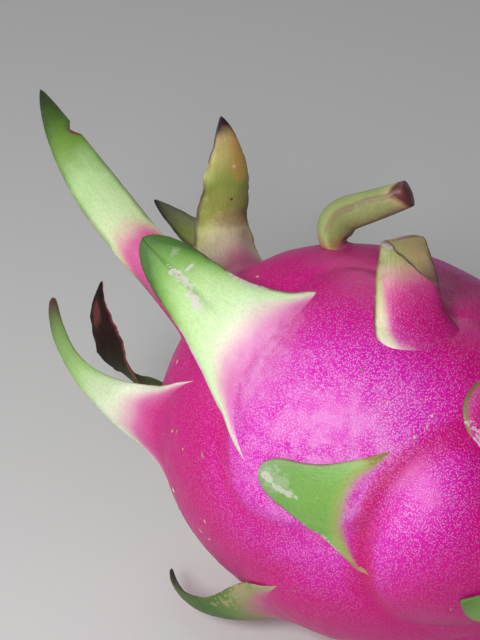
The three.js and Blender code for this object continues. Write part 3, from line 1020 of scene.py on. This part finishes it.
# %% Leaf green
CREAM = seen(240, 230, 214)
PALE = seen(208, 234, 178)
GREEN = seen(140, 184, 92)
DEEP = seen(84, 128, 48)
STREAK_SHADE, STREAKS = (0.6, 0.66, 0.45, 1.0), 0.16
BLOTCH_SHADE, BLOTCHES = (0.7, 0.76, 0.55, 1.0), 0.3
STIPPLE_SHADE, STIPPLES = (0.68, 0.76, 0.55, 1.0), 0.3
BLOTCH_SCALE, NICK_SCALE, STIPPLE_SCALE = 90.0, 1100.0, 1700.0
STREAK_ALONG, STREAK_ACROSS, STREAK_SCALE = 5.0, 9.0, 1.6
SCRAPE_ALONG, SCRAPE_ACROSS = 16.0, 26.0
WANDER = 0.14
RIB_HALF = 0.18


def leaf_texture(w, spot):
    """Where a spot is on its leaf, and the noises that its colour is worked out from."""
    along, cross, face = (w.layer(name) for name in ("along", "cross", "face"))
    blotch = w.noise(spot, BLOTCH_SCALE, 3.0)
    streaks = w.vector(along * STREAK_ALONG, cross * STREAK_ACROSS, 0.0)
    scrapes = w.vector(along * SCRAPE_ALONG, cross * SCRAPE_ACROSS, 0.0)
    return SimpleNamespace(
        along=along, cross=cross, face=face, edge=abs(cross),
        blotch=blotch, wander=(blotch - 0.5) * WANDER,
        fine=w.noise(spot, FINE, 3.0), nick=w.noise(spot, NICK_SCALE, 2.0),
        stipple=w.noise(spot, STIPPLE_SCALE, 1.0),
        grain=w.noise(streaks, STREAK_SCALE, 3.0), scratch=w.noise(scrapes, 1.0, 3.0))


def leaf_green(w, t, stops, rib, greener):
    """The leaf's green from root to tip, and its midrib. greener: how far ahead the margins are."""
    level = t.along + t.wander + t.edge ** 3.0 * greener
    green = w.node("ShaderNodeValToRGB", {"stops": stops}, {"Fac": level}, "Color")
    green = w.shade(t.grain.eased(0.35, 0.75) * STREAKS, green, STREAK_SHADE)
    green = w.shade(t.blotch.eased(0.45, 0.75) * BLOTCHES, green, BLOTCH_SHADE)
    green = w.shade(t.stipple.eased(0.42, 0.66) * STIPPLES, green, STIPPLE_SHADE)
    midrib = 1 - abs(t.cross + t.wander).eased(0.0, RIB_HALF)
    midrib = midrib * t.along.eased(0.3, 0.6) * t.face.eased(0.0, 0.5)
    return w.tint(midrib * rib, green, DEEP), midrib


print("leaf streaks", STREAKS, "blotches", BLOTCHES)

# %% [markdown]
# ## The pink root of a leaf
# The skin's colour runs on into the leaf and ends in a soft border, which reaches furthest in the middle,
# so the green comes down the margins like a crescent. On the folded leaf it is different: a pale strip
# runs down one margin and round the foot. Both are one number that is below 0 on the skin's side.

# %% Pink border
STRIP_NARROWS, STRIP_SOFT = 0.4, 0.8
FOOT_HIGH, FOOT_FALLS = 0.13, 0.26
STRIP_WANDER = 0.4


def pink_border(w, t, pink, crescent, arms, strip):
    """Below 0 where a leaf still has the skin's colour, above 0 where it is green."""
    if not strip:
        return t.along + t.wander - pink * (1 - crescent * t.edge ** arms)
    rolled = (-1 * t.cross - strip - t.along * STRIP_NARROWS) * STRIP_SOFT
    foot = FOOT_HIGH - t.along - (t.cross + 1.0) * FOOT_FALLS
    border = w.math("MAXIMUM", w.math("MAXIMUM", t.along - pink, rolled), foot)
    return border + t.wander * STRIP_WANDER


print("a strip's foot reaches", FOOT_HIGH, "of the leaf")

# %% [markdown]
# ## Cork, dry margins and husk
# Where a leaf was rubbed it healed into pale cork with torn edges, its margin dries brown, and one leaf
# is dry altogether. A mark is an ellipse in the leaf's own measure, and noise tears its outline. It could
# be geometry, but such scars are thinner than paper, so colour and roughness are enough.

# %% Leaf marks
BROWN = seen(116, 70, 50)
CORK = seen(214, 206, 200)
HUSK_DARK, HUSK_LIGHT = seen(10, 4, 2), seen(40, 18, 18)
TORN_FINE, TORN_NICKS = 3.5, 4.0
MARK_FULL, MARK_GONE, MARK_TIGHTER = 0.4, 1.5, 0.6
MARK_ROUGHER = 0.2


def mark(colour, along, cross, length, width, strength=0.8, ragged=1.0):
    """A spot on a leaf: where it is, as shares of the leaf, how long and wide, how strong, how torn."""
    return SimpleNamespace(colour=colour, along=along, cross=cross, length=length, width=width,
                           strength=strength, ragged=ragged)


def with_marks(w, t, colour, rough, marks):
    """Colour and roughness with the marks laid over them."""
    torn = (t.fine - 0.5) * TORN_FINE + (t.nick - 0.5) * TORN_NICKS + (t.scratch - 0.5)
    for m in marks:
        away = ((t.along - m.along) / m.length) ** 2.0 + ((t.cross - m.cross) / m.width) ** 2.0
        gone = MARK_GONE - MARK_TIGHTER * m.ragged
        faded = (away + torn * m.ragged).eased(MARK_FULL * m.ragged, gone)
        shown = (1 - faded) * m.strength
        colour = w.tint(shown, colour, m.colour)
        rough = rough + shown * MARK_ROUGHER
    return colour, rough


print("cork in linear light", [round(c, 2) for c in CORK[:3]])

# %% [markdown]
# ## One function for every leaf finish
# The finish starts from the skin's colour, blushes pale near the border, turns green beyond it, and then
# gets its dry parts, specks and marks. Leaves differ only in the numbers that they hand in, so one
# function serves them all and a new leaf needs no new nodes to be thought out.

# %% Leaf finish
LEAF_BUMP, LEAF_GLOSS, DRY_DULLER = 0.5, 0.5, 0.35
LEAF_ROUGH, ROUGH_SPOTS, DRY_ROUGHER = 0.4, 0.2, 0.25
DOT_BUMP, FINE_BUMP, GRAIN_BUMP, STIPPLE_BUMP = 0.00003, 0.00012, 0.00012, 0.00004
WAVY_SCALE, WAVY_BUMP, RIB_BUMP = 160.0, 0.0005, 0.001
STRIP_FADES, ROOT_FADES = 0.1, 0.04


def leaf_finish(name, pink, stops, rim=0.45, rim_colour=BROWN, rim_from=0.93, marks=(), dry=0.0, flecks=0.3,
                blush=0.55, crescent=1.0, soft=1.0, rib=0.05, greener=0.05, strip=0.0, arms=4.0):
    """pink: share up to which the skin's colour reaches in the middle; stops: colours on to the tip."""
    material, w = new_finish("leaf_" + name)
    colour, dots, spot = skin_colour(w)
    t = leaf_texture(w, spot)
    green, midrib = leaf_green(w, t, stops, rib, greener)
    border = pink_border(w, t, pink, crescent, arms, strip)
    colour = w.tint(border.eased(-0.24, -0.03) * t.along.eased(0.0, 0.1) * blush, colour, PALE_PINK)
    from_root = t.along.eased(-0.02, STRIP_FADES if strip else ROOT_FADES)
    colour = w.tint(border.eased(-0.12 * soft, 0.08 * soft) * from_root, colour, green)
    if dry:
        husk = w.tint(t.grain.eased(0.3, 0.7), HUSK_DARK, HUSK_LIGHT)
        colour = w.tint((t.along + t.wander).eased(0.2, 0.46) * dry, colour, husk)
    dried = t.edge.eased(rim_from, 1.0) * t.along.eased(0.02, 0.2) * t.blotch.eased(0.3, 0.55)
    colour = w.tint(dried * rim, colour, rim_colour)
    specks = t.fine.eased(0.64, 0.72) * t.blotch.eased(0.5, 0.62) * border.eased(0.1, 0.2)
    colour = w.tint(specks * flecks, colour, CORK)
    rough = LEAF_ROUGH + ROUGH_SPOTS * t.fine + DRY_ROUGHER * dry
    colour, rough = with_marks(w, t, colour, rough, marks)
    height = dots * DOT_BUMP + t.fine * FINE_BUMP + t.grain * GRAIN_BUMP + t.stipple * STIPPLE_BUMP
    height = height + w.noise(spot, WAVY_SCALE, 2.0) * WAVY_BUMP - midrib * (RIB_BUMP * rib)
    set_finish(w, colour, rough, height, LEAF_BUMP, LEAF_GLOSS - DRY_DULLER * dry)
    return material


FINISHES = {
    "fresh": leaf_finish("fresh", 0.25, [(0.1, CREAM), (0.4, PALE), (0.65, GREEN), (0.97, DEEP)]),
}
print("leaf finish nodes", len(FINISHES["fresh"].node_tree.nodes))

# %% [markdown]
# ## The leaves of the crown
# The large leaf in the middle is nearly white where it leaves the skin and has two corky scars. The long
# strap stays pale for half its length, with a red-brown edge in its notch. The claw is brown at its tip,
# and the leaf far behind is dark along its margins.

# %% Crown leaf finishes
PURPLE_BROWN = seen(76, 44, 42)
OLIVE = seen(78, 92, 36)
FINISHES["main"] = leaf_finish(
    "main", 0.23,
    [(0.1, CREAM), (0.24, seen(236, 246, 214)), (0.42, seen(212, 240, 184)),
     (0.6, seen(184, 220, 146)), (0.78, seen(126, 174, 82)), (0.94, seen(66, 108, 38))],
    rib=0.45, blush=0.35, greener=0.25, rim=0.75, rim_colour=PURPLE_BROWN, rim_from=0.9, arms=7.0,
    marks=[mark(CORK, 0.66, -0.05, 0.13, 0.16, 0.75),
           mark(CORK, 0.53, -0.18, 0.1, 0.14, 0.9),
           mark(CORK, 0.68, 0.35, 0.012, 0.2, 0.8, 0.4),
           mark(CORK, 0.42, 0.97, 0.12, 0.13, 0.8, 0.8),
           mark(CORK, 0.3, -0.99, 0.22, 0.09, 0.8, 0.4)])
FINISHES["long"] = leaf_finish(
    "long", 0.42,
    [(0.36, seen(228, 224, 178)), (0.48, seen(206, 226, 174)), (0.62, seen(182, 216, 150)),
     (0.76, seen(112, 152, 54)), (0.86, seen(64, 96, 20)), (0.96, seen(34, 50, 6))],
    rim=0.6, rim_colour=OLIVE, rim_from=0.75, blush=0.15, crescent=0.25, soft=0.6,
    marks=[mark(seen(118, 44, 54), 0.785, 0.97, 0.025, 0.4, 0.95, 0.2)])
FINISHES["claw"] = leaf_finish(
    "claw", 0.31,
    [(0.2, CREAM), (0.36, seen(232, 238, 212)), (0.55, seen(160, 198, 122)),
     (0.84, seen(106, 138, 66)), (0.93, seen(84, 82, 48)), (0.98, seen(80, 50, 38))],
    blush=0.3, marks=[mark(CORK, 0.42, -1.0, 0.16, 0.1, 0.7, 0.5)])
FINISHES["far"] = leaf_finish(
    "far", 0.2,
    [(0.1, CREAM), (0.3, seen(160, 166, 90)), (0.65, seen(122, 136, 58)),
     (0.85, seen(88, 84, 42)), (0.96, seen(40, 24, 24))],
    rim=0.9, rim_colour=seen(52, 32, 28), rim_from=0.8)
print("leaf finishes", len(FINISHES))

# %% [markdown]
# ## The leaves low on the flank
# The leaf that is pressed to the skin is an even green with a greyish, scarred tip and hardly any cream.
# The lowest one is dark green with a corky root, and of the one at the far right only an olive rim is
# seen, with a pale bluish-white painted sheen on its margin.

# %% Flank leaf finishes
FINISHES["pressed"] = leaf_finish(
    "pressed", 0.17,
    [(0.03, seen(232, 168, 140)), (0.15, seen(176, 182, 104)), (0.3, seen(128, 176, 82)),
     (0.75, seen(116, 164, 78)), (0.97, seen(136, 164, 114))],
    rim=0.8, rim_colour=seen(116, 80, 52), rim_from=0.88, blush=0.0, crescent=0.8, soft=0.7,
    marks=[mark(seen(176, 190, 160), 0.84, 0.0, 0.2, 0.6, 0.45, 0.7),
           mark(CORK, 0.88, -0.1, 0.09, 0.25, 0.6, 1.2),
           mark(CORK, 0.72, -0.3, 0.12, 0.12, 0.55, 1.2),
           mark(CORK, 0.3, -0.96, 0.14, 0.08, 0.6),
           mark(seen(150, 116, 66), 0.08, 1.0, 0.16, 0.2, 0.8, 0.6),
           mark(seen(160, 126, 76), 0.08, -1.0, 0.16, 0.14, 0.8, 0.6)])
FINISHES["low"] = leaf_finish(
    "low", 0.2,
    [(0.1, seen(190, 176, 132)), (0.25, seen(126, 150, 80)), (0.42, seen(74, 112, 40)),
     (0.8, seen(58, 92, 28)), (0.97, seen(36, 38, 16))],
    blush=0.1, crescent=1.4, marks=[mark(seen(166, 150, 116), 0.24, 0.75, 0.16, 0.4, 0.75, 1.2)])
FINISHES["rear"] = leaf_finish(
    "rear", 0.95,
    [(0.5, seen(176, 146, 92)), (0.8, seen(146, 126, 58)), (0.98, seen(112, 100, 44))],
    rim=0.6, rim_colour=OLIVE, crescent=0.4, blush=0.1, soft=0.6,
    # The pale bluish-white mark on the margin is a painted sheen.
    marks=[mark(seen(216, 204, 226), 0.45, -0.9, 0.3, 0.25, 0.55, 1.2)])
print("leaf finishes", len(FINISHES))

# %% [markdown]
# ## The leaves that have dried
# Four leaves have begun to dry. The upright one is sunburnt yellow with a brown band at its fold,
# partly painted shade, and a black tip, the rolled one ends in dark purple, the folded one is
# straw-coloured beyond its fold with a grey patch on top, and the last is a dry, purple-brown husk with a
# reddish painted highlight on its outer part.

# %% Dried leaf finishes
FINISHES["sunburnt"] = leaf_finish(
    "sunburnt", 0.22,
    [(0.2, seen(250, 196, 200)), (0.28, seen(255, 246, 218)), (0.4, seen(226, 224, 156)),
     (0.47, seen(172, 178, 94)), (0.62, seen(154, 170, 80)), (0.78, seen(206, 196, 120)),
     (0.88, seen(214, 186, 128)), (0.95, seen(52, 28, 44))],
    rim=0.95, rim_colour=PURPLE_BROWN, rim_from=0.86, blush=0.1, crescent=0.6,
    # A reddish-brown band across the fold: dry brown, partly painted shade where the leaf bends.
    marks=[mark(seen(146, 84, 64), 0.42, 0.35, 0.06, 1.0, 0.5, 0.15),
           mark(seen(206, 152, 70), 0.78, 0.5, 0.16, 0.6, 0.6, 0.12),
           mark(seen(96, 40, 36), 0.54, 0.1, 0.01, 0.07, 0.9, 0.2),
           mark(seen(230, 196, 176), 0.72, 0.15, 0.012, 0.1, 0.8, 0.3)])
FINISHES["hooked"] = leaf_finish(
    "hooked", 0.1,
    [(0.1, seen(194, 76, 112)), (0.22, seen(178, 130, 94)), (0.34, seen(156, 164, 102)),
     (0.86, seen(164, 176, 118)), (0.925, seen(196, 182, 132)), (0.965, seen(110, 54, 60))],
    rim=0.6, blush=0.1, crescent=0.3, flecks=0.0, marks=[mark(CORK, 0.55, 0.85, 0.25, 0.12, 0.6)])
FINISHES["folded"] = leaf_finish(
    "folded", 0.45,
    [(0.12, CREAM), (0.36, seen(206, 204, 150)), (0.52, seen(150, 158, 92)),
     (0.64, seen(146, 134, 84)), (0.8, seen(170, 142, 98)), (0.97, seen(86, 52, 50))],
    rim=1.0, rim_colour=seen(96, 54, 54), rim_from=0.9, strip=0.66, blush=0.1,
    marks=[mark(seen(168, 166, 166), 0.6, -0.3, 0.05, 0.8, 0.9, 0.4),
           mark(seen(126, 138, 84), 0.76, -0.78, 0.17, 0.16, 0.75, 0.3),
           mark(seen(120, 62, 60), 0.64, 0.0, 0.012, 0.95, 0.7, 0.3),
           mark(seen(88, 48, 48), 0.8, -1.0, 0.2, 0.14, 0.9, 0.3),
           mark(seen(88, 48, 48), 0.8, 1.0, 0.2, 0.14, 0.9, 0.3)])
FINISHES["dried"] = leaf_finish(
    "dried", 0.1,
    [(0.1, CREAM), (0.25, seen(110, 130, 70)), (0.6, seen(60, 34, 26)), (0.97, seen(60, 30, 32))],
    dry=0.9, rim=0.8, rim_colour=seen(134, 66, 72), rim_from=0.88, flecks=0.0,
    # The reddish patch on the husk's outer part is a painted highlight.
    marks=[mark(seen(124, 62, 62), 0.78, 0.0, 0.09, 0.5, 0.6, 0.3)])
print("leaf finishes", len(FINISHES))

# %% [markdown]
# ## Growing the bracts
# Now each line grows its leaf. Inputs are set by their identifiers before the tree first runs, and every
# leaf gets its own seed, so that no two ruffle alike and each run gives the same leaves. Dried leaves
# ruffle most.

# %% Bracts
FUSED_LENGTH, FUSED_MOST = 12.0, 0.45
RUFFLE_USUAL = 0.12
RUFFLE = {"dried": 0.18, "folded": 0.3, "sunburnt": 0.2}
SEED_STEP = 3.7

leaves = []
for number, (leaf, line) in enumerate(zip(BRACTS, lines)):
    leaves.append(grown(line, leaf_tree, leaf_keys, {
        "Skin": body,
        "Finish": FINISHES[leaf["finish"]],
        "Fused share": min(FUSED_MOST, FUSED_LENGTH / leaf["length"]),
        "Blade half": 0.5 * leaf["blade"] * MM,
        "Base half": 0.5 * leaf["base"] * MM,
        "Ruffle": RUFFLE.get(leaf["finish"], RUFFLE_USUAL),
        "Seed": SEED_STEP * number,
        "Skew": leaf["skew"],
        "Notch at": leaf["notch_at"],
        "Notch depth": leaf["notch"],
        "Sweep": leaf["sweep"],
    }))
print("bract faces", sum(len(made.data.polygons) for made in leaves))

# %% [markdown]
# ## A dry finish
# The flecks on the skin, the cut stem and the old flower are all dry and corky: two colours of one grain,
# rough and dull. One function makes the three from their light and dark colours.

# %% Dry finish
GRAIN_SCALE = 260.0
DRY_ROUGH, DRY_SPOTS = 0.75, 0.15
DRY_BUMP, DRY_DEPTH, DRY_GLOSS = 0.8, 0.0012, 0.5


def dry_finish(name, light, dark):
    material, w = new_finish(name)
    grain = w.noise(w.node("ShaderNodeTexCoord", out="Object"), GRAIN_SCALE, 4.0)
    colour = w.tint(grain.eased(0.35, 0.65), dark, light)
    set_finish(w, colour, DRY_ROUGH + DRY_SPOTS * grain, grain * DRY_DEPTH, DRY_BUMP, DRY_GLOSS)
    return material


fleck_cork = dry_finish("fleck_cork", seen(222, 206, 170), seen(160, 116, 96))
print("dry finish nodes", len(fleck_cork.node_tree.nodes))

# %% [markdown]
# ## Corky flecks
# Where the growing skin was rubbed it healed into tiny corky flecks. They repeat, lie anywhere on the
# skin and follow it, so a second tree scatters them: points on the skin, kept only where a broad noise
# is high so that they gather in groups, each with a flat little ball that is turned and sized at random.

# %% Flecks
FLECK_SIDES, FLECK_RINGS = 8, 5
FLECK_DENSITY = 14000.0
FLECK_GROUPS = 45.0
FLECK_SMALLEST, FLECK_LARGEST = (0.0003, 0.00014, 0.0001), (0.0009, 0.00035, 0.00016)
FLECK_LOWEST, FLECK_USUAL_FROM = 0.01, 0.015
FLECK_SEED = 5
FLECK_INPUTS = {"Skin": "Object", "Finish": "Material", "Density": "Float", "Smallest": "Vector",
                "Largest": "Vector", "Seed": "Int"}


def fleck_tree():
    """The tree that scatters flecks over the skin, and the identifiers of its inputs."""
    tree, keys = tree_with("skin_flecks", FLECK_INPUTS)
    w = Wire(tree)
    given = w.node("NodeGroupInput", out="Skin")
    density, seed = given.also("Density"), given.also("Seed")
    skin = w.node("GeometryNodeObjectInfo", {"transform_space": "ORIGINAL"}, {"Object": given}, "Geometry")
    spot = w.node("GeometryNodeInputPosition")
    height = w.node("ShaderNodeSeparateXYZ", {}, {0: spot}, "Z")
    raised = height.eased(FLECK_LOWEST, FLECK_USUAL_FROM)
    grouped = w.noise(spot, FLECK_GROUPS, 1.0).eased(0.52, 0.66) * raised
    points = w.node("GeometryNodeDistributePointsOnFaces", {"distribute_method": "RANDOM"},
                    {"Mesh": skin, "Density": density * grouped, "Seed": seed}, "Points")
    fleck = w.node("GeometryNodeMeshUVSphere", {},
                   {"Segments": FLECK_SIDES, "Rings": FLECK_RINGS, "Radius": 1.0}, "Mesh")
    angle = w.node("FunctionNodeRandomValue", {"data_type": "FLOAT"},
                   {"Min": 0.0, "Max": math.tau, "Seed": seed}, "Value")
    spin = w.node("FunctionNodeAxisAngleToRotation", {}, {"Axis": (0.0, 0.0, 1.0), "Angle": angle})
    turned = w.node("FunctionNodeRotateRotation", {"rotation_space": "LOCAL"},
                    {"Rotation": points.also("Rotation"), "Rotate By": spin})
    size = w.node("FunctionNodeRandomValue", {"data_type": "FLOAT_VECTOR"},
                  {"Min": given.also("Smallest"), "Max": given.also("Largest"), "Seed": seed}, "Value")
    flecks = w.node("GeometryNodeInstanceOnPoints", {},
                    {"Points": points, "Instance": fleck, "Rotation": turned, "Scale": size}, "Instances")
    end_tree(w, flecks, given.also("Finish"))
    return tree, keys


spots_tree, spots_keys = fleck_tree()
flecks = grown(mesh_object("skin_flecks", [], []), spots_tree, spots_keys, {
    "Skin": body,
    "Finish": fleck_cork,
    "Density": FLECK_DENSITY,
    "Smallest": FLECK_SMALLEST,
    "Largest": FLECK_LARGEST,
    "Seed": FLECK_SEED,
})
print("fleck faces", len(flecks.data.polygons))

# %% [markdown]
# ## Stem stub and flower scar
# At the far end a short cut stem sits in a dimple, and in the crown's crater the flower has dried to
# a brown plug. Both are turned shapes with an uneven outline, so a few profile corners are enough.

# %% Plugs
PLUG_AROUND = 48
RIB_TURN = 0.3
STEM_RADIUS, STEM_LENGTH, STEM_SUNK = 6.5, 9.0, 2.5
SCAR_RADIUS, SCAR_HEIGHT, SCAR_SUNK = 6.0, 7.0, 1.5
SCAR_CORNERS = ((0.12, 0.72), (0.3, 0.9), (0.5, 0.97), (0.66, 0.85),
                (0.86, 0.65), (0.92, 0.45), (1.0, 0.2), (0.98, 0.0))  # shares of radius and height


def plug(name, profile, ribs, uneven):
    """A turned plug on the long axis. profile is [(radius, along)] from one end to the other."""
    turns = np.linspace(0, 2 * math.pi, PLUG_AROUND, endpoint=False)
    rows = []
    for radius, along in profile:
        r = radius * (1 + uneven * np.cos(ribs * turns + RIB_TURN * along))
        rows.append(np.stack([-r * np.sin(turns), np.full_like(turns, along), r * np.cos(turns)], -1))
    points = np.vstack([[0, profile[0][1], 0], *rows, [0, profile[-1][1], 0]])
    return mesh_object(name, laid_down(points), closed_grid(len(profile), PLUG_AROUND))


stem_top = -STEM_HALF + DIMPLE_DEPTH + STEM_SUNK
stem_end = -STEM_HALF - STEM_LENGTH + DIMPLE_DEPTH
stem_corners = ((0.95, stem_top), (1.0, stem_top - 2), (0.93, stem_top - 5), (0.86, stem_end + 2),
                (0.82, stem_end + 0.6), (0.74, stem_end), (0.35, stem_end + 0.3))
stem_profile = [(STEM_RADIUS * share, along) for share, along in stem_corners]
stem = plug("stem_cut", stem_profile, ribs=3, uneven=0.07)
stem.data.materials.append(dry_finish("stem_dry", seen(160, 152, 104), seen(98, 92, 54)))

scar_foot = CROWN_HALF - CRATER_DEPTH - SCAR_SUNK
scar_profile = [(SCAR_RADIUS * share, scar_foot + SCAR_HEIGHT * level) for share, level in SCAR_CORNERS]
scar = plug("flower_plug", scar_profile, ribs=7, uneven=0.06)
scar.data.materials.append(dry_finish("scar_dry", seen(124, 98, 70), seen(54, 38, 28)))
print("plugs", len(stem.data.polygons), len(scar.data.polygons))

# %% [markdown]
# ## Floor
# A plain pale floor carries the fruit and catches its soft shadow. It is a single square of rough paper
# at the height of the flat spot, large enough to fill the picture.

# %% Floor
FLOOR_HALF = 1.5
FLOOR_GREY, FLOOR_ROUGHNESS = (0.66, 0.66, 0.65, 1), 0.9

floor_corners = [(x * FLOOR_HALF, y * FLOOR_HALF, 0) for x, y in ((-1, -1), (1, -1), (1, 1), (-1, 1))]
floor = mesh_object("floor", floor_corners, [(0, 1, 2, 3)])
paper = bpy.data.materials.new("floor_paper")
paper.use_nodes = True
paper.node_tree.nodes["Principled BSDF"].inputs["Base Color"].default_value = FLOOR_GREY
paper.node_tree.nodes["Principled BSDF"].inputs["Roughness"].default_value = FLOOR_ROUGHNESS
floor.data.materials.append(paper)
print("floor side m", 2 * FLOOR_HALF)

# %% [markdown]
# ## What stands for which solid
# Every visible piece is listed with the solid it stands for and that solid's material. It is tied to the
# body that carries it, and the solid is hidden.

# %% Pieces
pieces = [(body, "fruit_body", "skin"), (flecks, "fruit_body", "skin"),
          (stem, "stem_stub", "stem"), (scar, "flower_scar", "scar")]
for leaf, made in zip(BRACTS, leaves):
    pieces.append((made, leaf["name"], "dry_bract" if leaf["finish"] == "dried" else "bract"))
for piece, node, slot in pieces:
    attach(piece, "root")
    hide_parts(node)
